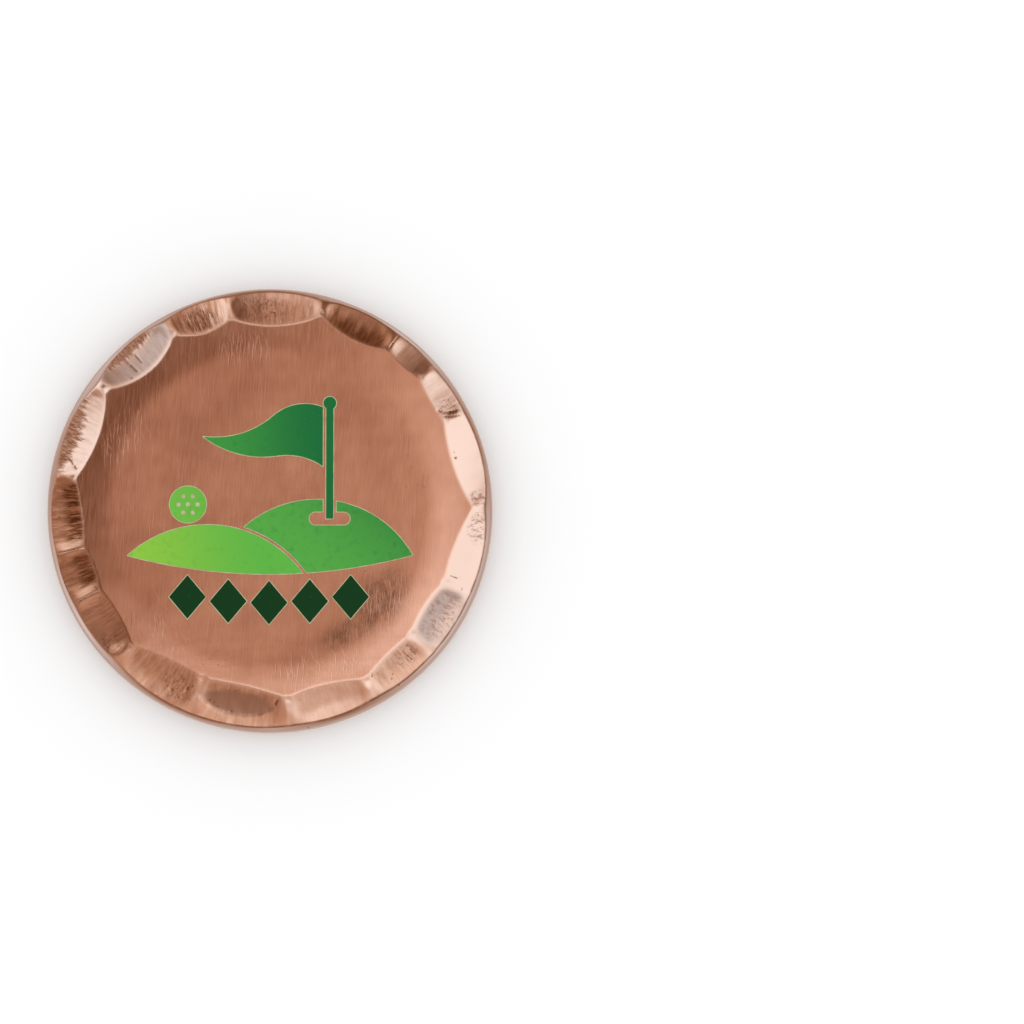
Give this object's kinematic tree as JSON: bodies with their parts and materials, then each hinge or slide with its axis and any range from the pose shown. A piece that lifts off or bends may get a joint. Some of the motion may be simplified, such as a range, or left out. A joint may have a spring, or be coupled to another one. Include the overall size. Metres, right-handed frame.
{
  "type": "golf ball marker",
  "caption": "Round copper golf ball marker with a hammered rim, a polished flat back and a printed green flag-and-hills emblem on its face.",
  "frame": {"origin": "centre of the flat back, at the middle of the disc", "axes": "+Z out of the printed face, +Y towards the top of the emblem, +X to its right"},
  "size_m": [0.0318, 0.0318, 0.0032],
  "materials": {
    "copper": "satin polish on the back, brushed field, hammered rim",
    "white_underbase": "semi-gloss",
    "light_green_ink": "semi-gloss",
    "green_ink": "semi-gloss",
    "dark_green_ink": "semi-gloss"
  },
  "bodies": {
    "root": {"copper_blank": "copper", "print_underbase": "white_underbase", "front_hill_ink": "light_green_ink", "rear_hill_ink": "green_ink", "ball_ink": "light_green_ink", "pennant_ink": "green_ink", "flagstick_ink": "dark_green_ink", "diamond_row_ink": "dark_green_ink"}
  },
  "joints": []
}
